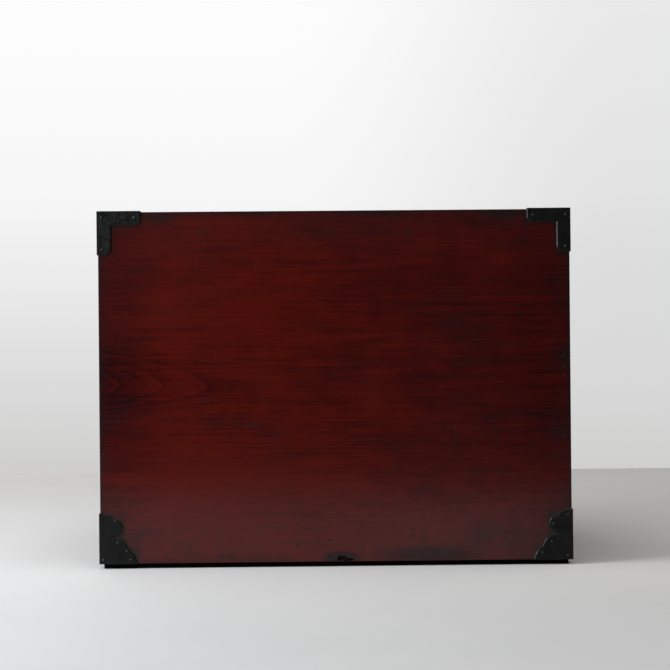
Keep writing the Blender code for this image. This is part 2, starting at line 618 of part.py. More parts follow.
def door_boards(door, lacquer):
    """Wide board with a tongue at head and foot, and the two grooved clamps that keep it flat."""
    foot, head = DOOR_FOOT + DOOR_CLAMP, DOOR_HEAD - DOOR_CLAMP
    low = (DOOR_LEFT, FRONT_Y, foot - TONGUE_LENGTH)
    panel = board("door_panel", low, (DOOR_RIGHT, DOOR_BACK_Y, head + TONGUE_LENGTH), lacquer, door)
    middle = FRONT_Y + DOOR_BOARD / 2
    tongue = middle - TONGUE_THICKNESS / 2, middle + TONGUE_THICKNESS / 2
    across = DOOR_LEFT - CUT, DOOR_RIGHT + CUT
    cheeks = ((FRONT_Y - CUT, tongue[0]), (tongue[1], DOOR_BACK_Y + CUT))
    ends = ((foot - TONGUE_LENGTH - CUT, foot), (head, head + TONGUE_LENGTH + CUT))
    cut(panel, *[((across[0], y0, z0), (across[1], y1, z1)) for y0, y1 in cheeks for z0, z1 in ends])
    hole = Vector((KEYHOLE_RADIUS, 0, KEYHOLE_SLOT))
    lock = Vector((LOCK_X, FRONT_Y, LOCK_Z))
    cut(panel, (lock - hole - Vector((0, CUT, 0)), lock + hole + Vector((0, DOOR_BOARD + CUT, 0))))
    deep = TONGUE_LENGTH + FIT
    for name, z0, z1, groove in (
        ("door_bottom_clamp", DOOR_FOOT, foot - FIT, (foot - deep, foot + CUT)),
        ("door_top_clamp", head + FIT, DOOR_HEAD, (head - CUT, head + deep)),
    ):
        clamp = board(name, (DOOR_LEFT, FRONT_Y, z0), (DOOR_RIGHT, DOOR_BACK_Y, z1), lacquer, door)
        cut(clamp, ((across[0], tongue[0] - FIT, groove[0]), (across[1], tongue[1] + FIT, groove[1])))


def lock(door, iron):
    """Four-lobed plate with a keyhole outside, and a case inside whose bolt slides into the divider."""
    across, up, out = Vector((1, 0, 0)), Vector((0, 0, 1)), Vector((0, -1, 0))
    slot = KEYHOLE_RADIUS * 0.5
    keyhole = [Vector((-slot, -KEYHOLE_SLOT)), Vector((-slot, -KEYHOLE_RADIUS * 0.8))]
    keyhole += arc(keyhole[-1], (slot, -KEYHOLE_RADIUS * 0.8), KEYHOLE_RADIUS * 1.8, ROUND_STEPS // 2)
    keyhole.append(Vector((slot, -KEYHOLE_SLOT)))
    edge = four_lobed_outline(LOCK_PLATE_WIDTH, LOCK_PLATE_HEIGHT, LOCK_PLATE_LOBE, LOCK_PLATE_LOBE)
    flat = sheet("door_lock_plate", IRON, edge, keyhole)
    plate = oriented(flat, across, up, out, out * (FIT + IRON / 2))
    piece("door_lock_plate", plate, iron, door, (LOCK_X, FRONT_Y, LOCK_Z))
    inside = DOOR_BACK_Y + FIT
    case_right = DOOR_RIGHT - LOCK_CASE_EDGE
    case_left = case_right - LOCK_CASE_LENGTH
    half = LOCK_CASE_HEIGHT / 2
    low, high = (case_left, inside, LOCK_Z - half), (case_right, inside + LOCK_CASE_DEPTH, LOCK_Z + half)
    case = board("door_lock_case", low, high, iron, door)
    y0, y1 = bolt_y(), bolt_y() + BOLT_THICKNESS
    z0, z1 = LOCK_Z - BOLT_HEIGHT / 2, LOCK_Z + BOLT_HEIGHT / 2
    cut(case, ((case_left - CUT, y0 - FIT, z0 - FIT), (case_right + CUT, y1 + FIT, z1 + FIT)))
    bolt = group("lock_bolt", door, (bolt_tip(), y0, LOCK_Z))
    board("door_lock_bolt", (bolt_tip() - BOLT_LENGTH, y0, z0), (bolt_tip(), y1, z1), iron, bolt)


def build():
    start_scene()
    lacquer = finish_material("red_wiped_lacquer", (0.048, 0.0052, 0.0040), 0.30, 0.0)
    pale = finish_material("paulownia", (0.46, 0.30, 0.16), 0.65, 0.0)
    dark = finish_material("stained_batten", (0.012, 0.009, 0.008), 0.60, 0.0)
    iron = finish_material("black_iron", (0.011, 0.011, 0.012), 0.45, 0.6)
    chest = group("chest")
    carcase(chest, lacquer)
    inner_boards(chest, lacquer, pale)
    runners(chest, dark)
    corner_irons(chest, iron)
    drawers = (
        ("upper_drawer", -INNER_X, INNER_X, MID_SHELF_TOP, CEILING_Z),
        ("right_upper_drawer", DIVIDER_RIGHT, INNER_X, DRAWER_SHELF_TOP, MID_SHELF_UNDER),
        ("right_lower_drawer", DIVIDER_RIGHT, INNER_X, FLOOR_Z, DRAWER_SHELF_UNDER),
    )
    sizes = BAIL_HALF_SPAN, BAIL_DROP, BAIL_BAR_RADIUS
    for name, left, right, floor, ceiling in drawers:
        body = drawer(name, left, right, floor, ceiling, chest, lacquer, pale)
        place = ((left + right) / 2, FRONT_Y, (floor + ceiling) / 2 + BAIL_DROP / 2 - EYE_RADIUS)
        handle(f"{name}_handle", *sizes, iron, body, place, 0.0)
    door = group("door", chest, (HINGE_X, HINGE_Y, (DOOR_FOOT + DOOR_HEAD) / 2))
    door_boards(door, lacquer)
    hinge("door_hinge_upper", DOOR_HEAD - HINGE_END_DISTANCE, chest, door, iron)
    hinge("door_hinge_lower", DOOR_FOOT + HINGE_END_DISTANCE, chest, door, iron)
    lock(door, iron)
    handle("door_handle", *sizes, iron, door, (DOOR_HANDLE_X, FRONT_Y, DOOR_HANDLE_Z), 0.0)
    side_sizes = SIDE_BAIL_HALF_SPAN, SIDE_BAIL_DROP, SIDE_BAIL_BAR_RADIUS
    middle = (FRONT_Y + REAR_Y) / 2
    for name, sign in (("left_side_handle", -1), ("right_side_handle", 1)):
        place = (sign * HALF_WIDTH, middle, SIDE_HANDLE_HEIGHT)
        handle(name, *side_sizes, iron, chest, place, sign * math.pi / 2)


build()
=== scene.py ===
# %% [markdown]
# # A lacquered sea chest, seen from behind
# The photograph shows the back of a small sea chest: one wide board in wiped red lacquer, held at its corners by
# forged black irons. The solids of the whole chest, with its drawers, door and handles, are packed already, and
# they are loaded here as a fixed frame. Every piece below starts from that frame, so nothing has to be fitted by
# eye.

# %% Load the frame
import json
import math

import bmesh
import bpy
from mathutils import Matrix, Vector

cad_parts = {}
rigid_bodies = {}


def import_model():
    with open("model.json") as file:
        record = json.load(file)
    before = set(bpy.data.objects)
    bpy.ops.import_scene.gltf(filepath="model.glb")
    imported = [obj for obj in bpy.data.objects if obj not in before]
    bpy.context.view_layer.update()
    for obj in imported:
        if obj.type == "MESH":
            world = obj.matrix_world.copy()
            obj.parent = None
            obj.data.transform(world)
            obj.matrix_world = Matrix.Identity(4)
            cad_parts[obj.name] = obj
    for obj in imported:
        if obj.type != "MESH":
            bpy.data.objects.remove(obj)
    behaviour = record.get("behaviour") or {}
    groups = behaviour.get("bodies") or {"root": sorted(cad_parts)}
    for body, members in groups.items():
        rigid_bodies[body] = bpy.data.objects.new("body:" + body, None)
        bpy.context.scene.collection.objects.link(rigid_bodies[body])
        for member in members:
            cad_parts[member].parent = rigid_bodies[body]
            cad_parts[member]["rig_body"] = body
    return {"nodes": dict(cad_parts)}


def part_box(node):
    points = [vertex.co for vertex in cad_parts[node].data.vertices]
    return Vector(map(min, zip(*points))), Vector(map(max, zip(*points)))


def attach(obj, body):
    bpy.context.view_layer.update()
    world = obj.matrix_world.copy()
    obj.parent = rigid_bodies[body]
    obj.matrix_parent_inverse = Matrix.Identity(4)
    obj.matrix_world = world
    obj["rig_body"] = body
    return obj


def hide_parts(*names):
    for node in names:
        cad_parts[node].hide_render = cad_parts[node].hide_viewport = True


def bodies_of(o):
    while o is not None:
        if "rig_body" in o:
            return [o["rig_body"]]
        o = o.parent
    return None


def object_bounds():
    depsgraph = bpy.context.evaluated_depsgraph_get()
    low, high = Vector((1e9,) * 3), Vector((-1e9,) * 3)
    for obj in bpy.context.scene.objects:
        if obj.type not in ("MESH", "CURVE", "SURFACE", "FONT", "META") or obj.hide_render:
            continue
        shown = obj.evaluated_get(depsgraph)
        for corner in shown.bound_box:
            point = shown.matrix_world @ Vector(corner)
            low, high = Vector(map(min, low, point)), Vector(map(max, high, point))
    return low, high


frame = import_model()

cad_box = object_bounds()
scene = bpy.context.scene
scene.view_settings.view_transform = "Standard"

# %% [markdown]
# ## The camera
# The picture was taken from about two metres behind the chest, a little above its middle, with a longish lens.
# The verticals stay parallel, so the camera looks level. Its small turn and roll come from the four corners of the
# board in the picture: a camera that is only roughly placed would never let the edges be compared.

# %% Camera at the photograph's place
SENSOR_WIDTH = 36.0
LENS = 84.5
AWAY = 2.0
SIDEWAYS = 0.0251
EYE_HEIGHT = 0.2947
ROLL = 0.51
TURN = 0.7237
back_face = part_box("back_panel")[1].y
camera_data = bpy.data.cameras.new("camera")
camera_data.sensor_width = SENSOR_WIDTH
camera_data.lens = LENS
camera = bpy.data.objects.new("camera", camera_data)
camera.location = (SIDEWAYS, back_face + AWAY, EYE_HEIGHT)
camera.rotation_euler = (math.radians(90.0), math.radians(ROLL), math.radians(180.0 - TURN))
scene.collection.objects.link(camera)
scene.camera = camera
print("camera", AWAY, "m behind the back board and", EYE_HEIGHT, "m up")

# %% [markdown]
# ## Shader maths as Python
# A finish such as lacquer over grain is a sum of many small patterns. Placing and wiring its nodes one by one hides
# the idea, so a small class wraps a socket. Arithmetic on it adds Math nodes, and `node` adds anything else: the
# settings are set first, because they decide which sockets a node has, and then the values or links go in.

# %% A socket that can be calculated with
class Value:
    """An output socket of a node tree."""

    def __init__(self, tree, socket):
        self.tree = tree
        self.socket = socket

    def node(self, kind, settings, inputs, output=0):
        """A new node with these settings and socket values or links, as the Value of one of its outputs."""
        made = self.tree.nodes.new(kind)
        for name, setting in settings.items():
            if name == "stops":
                ramp = made.color_ramp.elements
                while len(ramp) < len(setting):
                    ramp.new(0.5)
                for element, (position, tone) in zip(ramp, setting):
                    element.position = position
                    element.color = (*tone, 1.0)
            else:
                setattr(made, name, setting)
        for name, value in inputs.items():
            if isinstance(value, Value):
                self.tree.links.new(value.socket, made.inputs[name])
            else:
                made.inputs[name].default_value = value
        return Value(self.tree, made.outputs[output])

    def math(self, operation, *values):
        return self.node("ShaderNodeMath", {"operation": operation}, dict(enumerate(values)))

    def __add__(self, other):
        return self.math("ADD", self, other)

    def __sub__(self, other):
        return self.math("SUBTRACT", self, other)

    def __rsub__(self, other):
        return self.math("SUBTRACT", other, self)

    def __mul__(self, other):
        return self.math("MULTIPLY", self, other)

    def __truediv__(self, other):
        return self.math("DIVIDE", self, other)

    def __pow__(self, power):
        return self.math("POWER", self, power)

    __radd__ = __add__
    __rmul__ = __mul__

    def at_least(self, limit):
        return self.math("MAXIMUM", self, limit)

    def at_most(self, limit):
        return self.math("MINIMUM", self, limit)

    def fraction(self):
        return self.math("FRACT", self)

    def axes(self):
        """X, Y and Z of a vector."""
        split = self.node("ShaderNodeSeparateXYZ", {}, {0: self})
        outputs = split.socket.node.outputs
        return [Value(self.tree, outputs[name]) for name in "XYZ"]

    def vector(self, x, y, z):
        return self.node("ShaderNodeCombineXYZ", {}, {0: x, 1: y, 2: z})

    def noise(self, scale, detail=2.0, roughness=0.5):
        inputs = {"Vector": self, "Scale": scale, "Detail": detail, "Roughness": roughness}
        return self.node("ShaderNodeTexNoise", {}, inputs)

    def rises(self, start, end):
        """0 before start and 1 after end, with a smooth step between them."""
        inputs = {"Value": self, "From Min": start, "From Max": end}
        return self.node("ShaderNodeMapRange", {"interpolation_type": "SMOOTHSTEP"}, inputs)

    def mixes(self, first, second):
        """The first colour where this value is 0, the second where it is 1."""
        return self.node("ShaderNodeMix", {"data_type": "RGBA"}, {0: self, 6: first, 7: second}, 2)


print("arithmetic on sockets is ready")

# %% Finishes and what varies on them
def colour(red, green, blue):
    return (red, green, blue, 1.0)


def new_finish(name, constants):
    """A material with these constants on its shader, and the Value of its Object coordinates."""
    material = bpy.data.materials.new(name)
    material.use_nodes = True
    tree = material.node_tree
    for socket, value in constants.items():
        tree.nodes["Principled BSDF"].inputs[socket].default_value = value
    return material, Value(tree, tree.nodes.new("ShaderNodeTexCoord").outputs["Object"])


def feed(material, links):
    """Links Values to the sockets of the material's shader."""
    shader = material.node_tree.nodes["Principled BSDF"]
    for socket, value in links.items():
        material.node_tree.links.new(value.socket, shader.inputs[socket])
    print(material.name, "varies in", ", ".join(links))


print("finishes can be made and fed")

# %% [markdown]
# ## Floor, light and background
# The picture has a pale floor, a white wall, cool light from a window at the left of the image and warmer light from
# above. Lacquer is dark and glossy, so most of what one sees in it is the room: the lowest quarter of the board is
# pale with the lit floor before it, and the rest stays deep red because the room behind the camera is dim. The floor
# is therefore painted paler close to the chest, as a painted pool of light, and fades out towards the camera, and the
# world is pale only on the wall's side.
# Two weak lights show the chest's front and one side, which the picture hides.

# %% Floor
FLOOR_HALF_WIDTH = 6.0
FLOOR_HALF_DEPTH = 2.5
FLOOR_BEYOND = 1.40
floor_end = back_face - FLOOR_BEYOND
floor_shape = bmesh.new()
bmesh.ops.create_grid(floor_shape, x_segments=1, y_segments=1, size=1.0)
bmesh.ops.scale(floor_shape, vec=(FLOOR_HALF_WIDTH, FLOOR_HALF_DEPTH, 1.0), verts=floor_shape.verts)
bmesh.ops.translate(floor_shape, vec=(0.0, floor_end + FLOOR_HALF_DEPTH, 0.0), verts=floor_shape.verts)
floor_mesh = bpy.data.meshes.new("floor")
floor_shape.to_mesh(floor_mesh)
floor_shape.free()
floor = bpy.data.objects.new("floor", floor_mesh)
scene.collection.objects.link(floor)
print("floor", 2 * FLOOR_HALF_WIDTH, "by", 2 * FLOOR_HALF_DEPTH, "m, from y", round(floor_end, 2), "m")

# %% Pale finish with a painted pool of light by the chest, fading out towards the camera
FLOOR_GREY = colour(0.40, 0.404, 0.412)
FLOOR_WHITE = colour(0.485, 0.487, 0.490)
POOL_REACH = 0.50
FADE_START = 0.60
FADE_END = 1.25
floor_finish, floor_place = new_finish("pale_floor", {"Roughness": 0.8, "IOR": 1.05})
floor_tree = floor_finish.node_tree
floor_y = floor_place.axes()[1]
# Painted light: within half a metre of the back board the floor's colour is made paler, a painted pool of light.
near = 1.0 - floor_y.rises(back_face, back_face + POOL_REACH)
mottle_and_pool = floor_place.noise(3.0, 5.0, 0.6) * 0.7 + near * 0.5
feed(floor_finish, {"Base Color": mottle_and_pool.mixes(FLOOR_GREY, FLOOR_WHITE)})
fade = floor_y.rises(back_face + FADE_START, back_face + FADE_END)
solid_floor = Value(floor_tree, floor_tree.nodes["Principled BSDF"].outputs["BSDF"])
nothing = fade.node("ShaderNodeBsdfTransparent", {}, {})
faded = fade.node("ShaderNodeMixShader", {}, {0: fade, 1: solid_floor, 2: nothing})
floor_tree.links.new(faded.socket, floor_tree.nodes["Material Output"].inputs["Surface"])
floor_mesh.materials.append(floor_finish)
print("it fades out from", FADE_START, "to", FADE_END, "m behind the back board")

# %% World: a white wall on one side and a dim room on the other
WALL_TONES = (
    (0.00, (0.20, 0.20, 0.20)),
    (0.30, (0.45, 0.45, 0.45)),
    (0.457, (0.62, 0.615, 0.61)),
    (0.48, (0.69, 0.69, 0.69)),
    (0.543, (0.92, 0.92, 0.925)),
    (0.604, (0.985, 0.985, 0.985)),
    (0.72, (0.50, 0.50, 0.50)),
    (1.00, (0.30, 0.30, 0.30)),
)
ROOM_TONES = (
    (0.00, (0.10, 0.10, 0.10)),
    (0.44, (0.05, 0.05, 0.05)),
    (0.50, (0.03, 0.03, 0.03)),
    (0.56, (0.06, 0.06, 0.06)),
    (0.70, (0.15, 0.15, 0.15)),
    (1.00, (0.30, 0.30, 0.30)),
)
FAR_END_SHADE = 0.17
world = bpy.data.worlds.new("studio")
world.use_nodes = True
scene.world = world
world_tree = world.node_tree
towards = Value(world_tree, world_tree.nodes.new("ShaderNodeTexCoord").outputs["Generated"])
east, north, up = towards.axes()
height = up * 0.5 + 0.5
wall = height.node("ShaderNodeValToRGB", {"stops": WALL_TONES}, {0: height})
room = height.node("ShaderNodeValToRGB", {"stops": ROOM_TONES}, {0: height})
far_end = (0.0 - east).rises(-0.03, 0.20) * up.rises(-0.08, 0.08)
shaded = (far_end * FAR_END_SHADE).mixes(wall, colour(0.0, 0.0, 0.0))
facing_wall = (0.0 - north).rises(0.05, 0.75)
studio = facing_wall.mixes(room, shaded)
world_tree.links.new(studio.socket, world_tree.nodes["Background"].inputs["Color"])
print("world with", len(WALL_TONES), "wall tones and", len(ROOM_TONES), "room tones")

# %% Soft lights
COOL = (0.92, 0.96, 1.0)
WARM = (1.0, 0.955, 0.905)
AMBER = (1.0, 0.90, 0.78)
chest_middle = (cad_box[0] + cad_box[1]) / 2
LIGHTS = (
    ("window_light", (1.1, 1.0), 64.0, COOL, (1.80, back_face + 0.62, 0.90), (0.0, back_face + 0.25, 0.15)),
    ("ceiling_light", (2.4, 1.6), 43.0, WARM, (0.1, back_face + 0.5, 2.6), (0.0, back_face + 0.3, 0.0)),
    ("front_light", (1.4, 0.8), 20.0, WARM, (0.9, -2.3, 0.6), chest_middle),
    ("side_light", (1.4, 0.8), 15.0, AMBER, (-2.3, -0.5, 0.7), chest_middle),
)


def soft_light(name, size, power, tint, place, target):
    """A rectangular soft light of this width and height, aimed at a target."""
    data = bpy.data.lights.new(name, "AREA")
    data.shape = "RECTANGLE"
    data.size, data.size_y = size
    data.energy = power
    data.color = tint
    light = bpy.data.objects.new(name, data)
    light.location = place
    light.rotation_euler = (Vector(target) - Vector(place)).to_track_quat("-Z", "Y").to_euler()
    scene.collection.objects.link(light)
    print(name, power, "W over", size, "m")


for light in LIGHTS:
    soft_light(*light)

# %% [markdown]
# ## Red wiped lacquer
# The lacquer is wiped on sparingly and coloured, so the grain shows through it: pale summer wood between the dark lines
# of the year rings. A picture of wood would stretch over the ends of a board, so the rings are cut out of a solid
# pattern: the distance from the tree's heart, which runs along the board, gives the year, and a saw of that
# distance gives a soft rise and a sharp end for each one.

# %% Noise and rings that follow the grain
GRAIN_HEIGHT = 0.0003


def grain_axes(place, order):
    """The axes along, across and through a board, from their letters in that order."""
    axes = dict(zip("XYZ", place.axes()))
    return [axes[letter] for letter in order]


def grain_noise(axes, along, across, detail, roughness=0.5):
    """Noise with so many changes per metre along the grain and across it."""
    stretched = axes[0].vector(axes[0] * along, axes[1] * across, axes[2] * across)
    return stretched.noise(1.0, detail, roughness)


def from_heart(axes, heart, bend):
    """Distance from the tree's heart, which lies so far across and through the board and wanders by bend."""
    sideways = axes[1] - heart[0]
    inwards = axes[2] - heart[1] + bend
    return (sideways * sideways + inwards * inwards) ** 0.5


def years(radius, width):
    """1 on the dark end of each year ring and near 0 in the rest of it."""
    saw = (radius / width).fraction()
    return saw.rises(0.25, 0.95) * (1.0 - saw.rises(0.95, 1.0))


def bumped(height, strength, distance):
    """A normal that follows this height, as if the surface rose by the distance."""
    return height.node("ShaderNodeBump", {}, {"Strength": strength, "Distance": distance, "Height": height})


print("grain rises", round(GRAIN_HEIGHT * 1000, 2), "mm at most")

# %% Lacquer for the boards
DEEP_RED = colour(0.0150, 0.0022, 0.0030)
MID_RED = colour(0.0400, 0.0030, 0.0024)
BRIGHT_RED = colour(0.0720, 0.0047, 0.0028)
RING_WIDTH = 0.012


def reds(depth):
    """Bright red where the lacquer lies light on the wood, and deep red where it lies thick."""
    tone = depth.rises(-0.15, 0.45).mixes(BRIGHT_RED, MID_RED)
    return depth.rises(0.35, 0.95).mixes(tone, DEEP_RED)


def lacquer(name, order, heart, index, sheen):
    """Lacquered board. order names its axes along, across and through; heart is across and through, in metres."""
    material, place = new_finish(name, {"IOR": index})
    axes = grain_axes(place, order)
    slow = grain_noise(axes, 1.6, 5.0, 2.0)
    cloud = grain_noise(axes, 6.0, 12.0, 4.0, 0.6)
    band = grain_noise(axes, 1.5, 70.0, 3.0, 0.6)
    streak = grain_noise(axes, 4.0, 270.0, 2.0, 0.6)
    thread = grain_noise(axes, 9.0, 640.0, 2.0, 0.6)
    radius = from_heart(axes, heart, (slow - 0.5) * 0.09) + (band - 0.5) * RING_WIDTH
    ring = years(radius, RING_WIDTH)
    depth = ring * 0.22 + band.rises(0.52, 0.66) * 0.10 + (streak - 0.5) * 0.85
    depth = depth + (thread - 0.5) * 0.7 + (cloud - 0.5) * 0.8 + 0.28
    gloss = sheen + cloud * 0.08 + ring * 0.03
    relief = bumped(ring * 0.5 + streak, 0.07, GRAIN_HEIGHT)
    feed(material, {"Base Color": reds(depth), "Roughness": gloss, "Normal": relief})
    return material


level_lacquer = lacquer("level_lacquer", "XZY", (0.10, -0.11), 1.25, 0.20)
flat_lacquer = lacquer("flat_lacquer", "XYZ", (0.06, 0.30), 1.10, 0.46)
upright_lacquer = lacquer("upright_lacquer", "ZYX", (-0.05, 0.12), 1.25, 0.20)
door_lacquer = lacquer("door_lacquer", "ZXY", (-0.11, -0.13), 1.25, 0.20)

# %% [markdown]
# ## The back board's own lacquer
# The back is the face in the picture, so its grain follows the one plank that was used. A saw that runs slightly
# out of line with the trunk cuts its rings as nested parabolas, which close near the board's left end in the image
# and run on level from there. A parabola is all points with the same height squared plus distance along the board,
# so that sum numbers the rings. Left and right are meant as in the picture, where x runs to the left.

# %% Patterns on the back board
back_finish, back_place = new_finish("back_lacquer", {"IOR": 1.37})
back_low, back_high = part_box("back_panel")
x, y, z = back_place.axes()
aside = x.math("ABSOLUTE", x)
from_left = back_high.x - x
from_right = x - back_low.x


def back_noise(across, up, detail, roughness, through=0.0):
    """Noise on the back board with so many changes per metre across, up and through it."""
    return back_place.vector(x * across, y * through, z * up).noise(1.0, detail, roughness)


slow = back_noise(2.5, 9.0, 2.0, 0.5)
cloud = back_noise(8.0, 14.0, 4.0, 0.6)
blotch = back_noise(24.0, 40.0, 4.0, 0.65)
band = back_noise(2.2, 70.0, 3.0, 0.6)
streak = back_noise(7.0, 270.0, 2.0, 0.6, 200.0)
thread = back_noise(14.0, 640.0, 2.0, 0.6, 400.0)
speck = back_noise(110.0, 110.0, 4.0, 0.65)
print("seven patterns over", [round(side, 3) for side in back_high - back_low], "m of back board")

# %% Arched rings
ARCH_HEIGHT = 0.2355
UPPER_ARM = 0.0130
LOWER_ARM = 0.0080
FIRST_RING = 0.025
RING_STEP = 0.054


def ring_line(year, fall):
    """1 just outside each ring, falling to 0 at the next one."""
    return (1.0 - year.fraction()) ** fall


above = z - ARCH_HEIGHT + from_left.rises(0.03, 0.20) * 0.006 + (slow - 0.5) * 0.012
upper = above.at_least(0.0)
lower = above.at_most(0.0)
spread = upper * upper / UPPER_ARM + lower * lower / LOWER_ARM
travel = from_left.math("SMOOTH_MIN", from_left, 0.150, 0.050) - from_left.rises(0.20, 0.60) * 0.03
reach = travel + spread + (band - 0.5) * 0.014 + (streak - 0.5) * 0.004
year = (reach - FIRST_RING) / RING_STEP
line = ring_line(year, 2.2) * 0.75 + ring_line(year * 4.0, 1.5) * 0.35
line = line + ring_line(year + 0.5, 2.2) * (1.0 - reach.rises(0.060, 0.078)) * 0.45
arch = (1.0 - reach.rises(0.15, 0.26)) * (1.0 - from_left.rises(0.12, 0.26))
print("arched rings", RING_STEP * 1000, "mm apart on their axis,", ARCH_HEIGHT, "m up")

# %% Red of the back board, with painted light from the left and a painted floor reflection at its foot
# Painted light: the red is made paler towards the left, where the window light falls, and paler at the foot, as a
# painted reflection of the lit floor.
painted_light_from_left = from_right.rises(0.02, 0.09) * 0.5 + from_right.rises(0.09, 0.42) * 0.5
painted_brightness = from_left.rises(0.015, 0.10) * painted_light_from_left
painted_brightness = painted_brightness + (1.0 - z.rises(0.06, 0.18)) * 0.40 + (1.0 - from_left.rises(0.12, 0.30)) * 0.22
depth = line * (0.09 + arch * 0.42) + band.rises(0.52, 0.66) * 0.08 + (streak - 0.5) * 0.75
depth = depth + (thread - 0.5) * 1.05 + (cloud - 0.5) + (blotch - 0.5) * 0.9 + 0.50 - painted_brightness * 0.42
tone = reds(depth)
print("the back board's red is deepest on its rings and thinnest at its foot")

# %% [markdown]
# ## Soot, stains and dust
# Smoke and hands have darkened the board's edges and the wood beside the irons, where no cloth reaches. Water has
# stained its foot, and dust clings to the right half. Each mark is an oval with a ragged edge: the distance from its
# middle is disturbed by two of the patterns above, so no mark looks stamped on. A list holds where the marks are.

# %% Ragged marks
ragged = (cloud - 0.5) * 0.8 + (speck - 0.5) * 0.9


def mark(across, up, half_width, half_height, strength):
    """This strength in the middle of a ragged oval on the back board and 0 at its edge."""
    u = (x - across) / half_width
    v = (z - up) / half_height
    return (1.0 - ((u * u + v * v) ** 0.5 + ragged).rises(0.0, 1.0)) * strength


def marks(places):
    """All these marks together."""
    return sum(mark(*place) for place in places)


print("marks are ovals with a ragged edge")

# %% Soot, stains and a painted shade line along the edges
SOOT_AND_EDGE_SHADE = colour(0.0080, 0.0050, 0.0050)
GRIME_REACH = 0.007
STAINS = (
    (-0.122, 0.016, 0.095, 0.015, 1.1),
    (0.004, 0.012, 0.020, 0.010, 0.7),
    (0.222, 0.444, 0.036, 0.016, 0.8),
    (-0.215, 0.445, 0.040, 0.012, 0.7),
    (-0.058, 0.452, 0.040, 0.008, 0.7),
    (-0.010, 0.432, 0.160, 0.040, 0.3),
)


def beside(width, top, foot):
    """1 on a rectangle of this width in the left and right corners and 0 a few millimetres beside it."""
    outside = (back_high.x - width - aside).rises(0.0, GRIME_REACH)
    outside = outside + (z - top).rises(0.0, GRIME_REACH) + (foot - z).rises(0.0, GRIME_REACH)
    return 1.0 - outside.at_most(1.0)


# Painted shade: a narrow dark line along the top and side edges of the board, where its eased edge turns from the
# light.
rim = aside.rises(back_high.x - 0.0035, back_high.x - 0.0010)
rim = rim + z.rises(back_high.z - 0.0040, back_high.z - 0.0010)
edges = (1.0 - from_left.rises(0.0, 0.018)) * 0.65 + (1.0 - from_right.rises(0.0, 0.034)) * 0.8
edges = edges + (1.0 - z.rises(back_low.z, back_low.z + 0.014)) * 0.45
edges = edges + z.rises(back_high.z - 0.016, back_high.z) * 0.85
grime = beside(0.055, back_high.z, back_high.z - 0.018) + beside(0.018, back_high.z, back_high.z - 0.056)
grime = grime + beside(0.028, 0.066, back_low.z) + beside(0.046, 0.024, back_low.z)
chip = mark(-0.009, 0.0105, 0.025, 0.0125, 1.8).at_most(1.0)
stain_and_edge_shade = (edges + grime) * cloud.rises(0.30, 0.62) * 0.8 + speck.rises(0.66, 0.74) * 0.5
stain_and_edge_shade = (stain_and_edge_shade + marks(STAINS) + chip + rim * 0.7).at_most(0.9)
tone = stain_and_edge_shade.mixes(tone, SOOT_AND_EDGE_SHADE)
print(len(STAINS), "stains, and soot along the edges and beside the irons")

# %% Painted reflections, haze and dust
REFLECTION_RED = colour(0.085, 0.012, 0.009)
HAZE = colour(0.075, 0.018, 0.017)
DUST = colour(0.0110, 0.0105, 0.0105)
PAINTED_REFLECTIONS = (
    (-0.0443, 0.2365, 0.020, 0.090, 0.16),
    (0.0950, 0.2430, 0.018, 0.060, 0.10),
)
BLOOM = (
    (-0.153, 0.287, 0.100, 0.135, 0.44),
    (-0.165, 0.170, 0.120, 0.100, 0.40),
)
DUSTY = (
    (0.165, 0.2135, 0.012, 0.004, 0.5),
    (0.104, 0.1800, 0.018, 0.006, 0.4),
    (0.166, 0.4300, 0.016, 0.022, 0.25),
    (-0.057, 0.4280, 0.014, 0.009, 0.3),
    (-0.096, 0.4240, 0.009, 0.014, 0.25),
    (-0.190, 0.0400, 0.035, 0.030, 0.4),
)
# Painted reflections: two pale streaks across the middle of the board stand for reflections in the lacquer.
tone = marks(PAINTED_REFLECTIONS).mixes(tone, REFLECTION_RED)
haze = mark(-0.14, 0.045, 0.20, 0.075, 0.3) + z.rises(0.36, 0.45) * 0.09
haze = haze + (1.0 - from_left.rises(0.02, 0.22)) * z.rises(0.24, 0.34) * 0.09
tone = haze.mixes(tone, HAZE)
bloom = cloud.rises(0.50, 0.66) * 0.30 + marks(BLOOM) + (1.0 - z.rises(0.03, 0.11)) * 0.5
scuff = bloom * (speck * 0.75 + blotch * 0.25).rises(0.40, 0.76)
scuff = (scuff + marks(DUSTY)).at_most(0.8)
tone = scuff.mixes(tone, DUST)
print(len(PAINTED_REFLECTIONS), "rubbed places and", len(DUSTY), "dusty ones")

# %% Gloss of the back board
gloss = 0.13 + cloud * 0.06 + stain_and_edge_shade * 0.12 + scuff * 0.15 + chip * 0.25
relief = bumped(line * arch + streak, 0.07, GRAIN_HEIGHT)
feed(back_finish, {"Base Color": tone, "Roughness": gloss, "Normal": relief})

# %% [markdown]
# ## Bare wood
# Inside the drawers the wood is paulownia, planed and left bare: pale, light and straight-grained. The battens under
# the chest are painted nearly black, as painted shade of the low gap under the chest, and the pegs and the chip in
# the back have gone dark with age. All use the same rings as the lacquer, only with other colours. So does the end
# grain of the lacquered boards, which drinks the lacquer and stays dull.

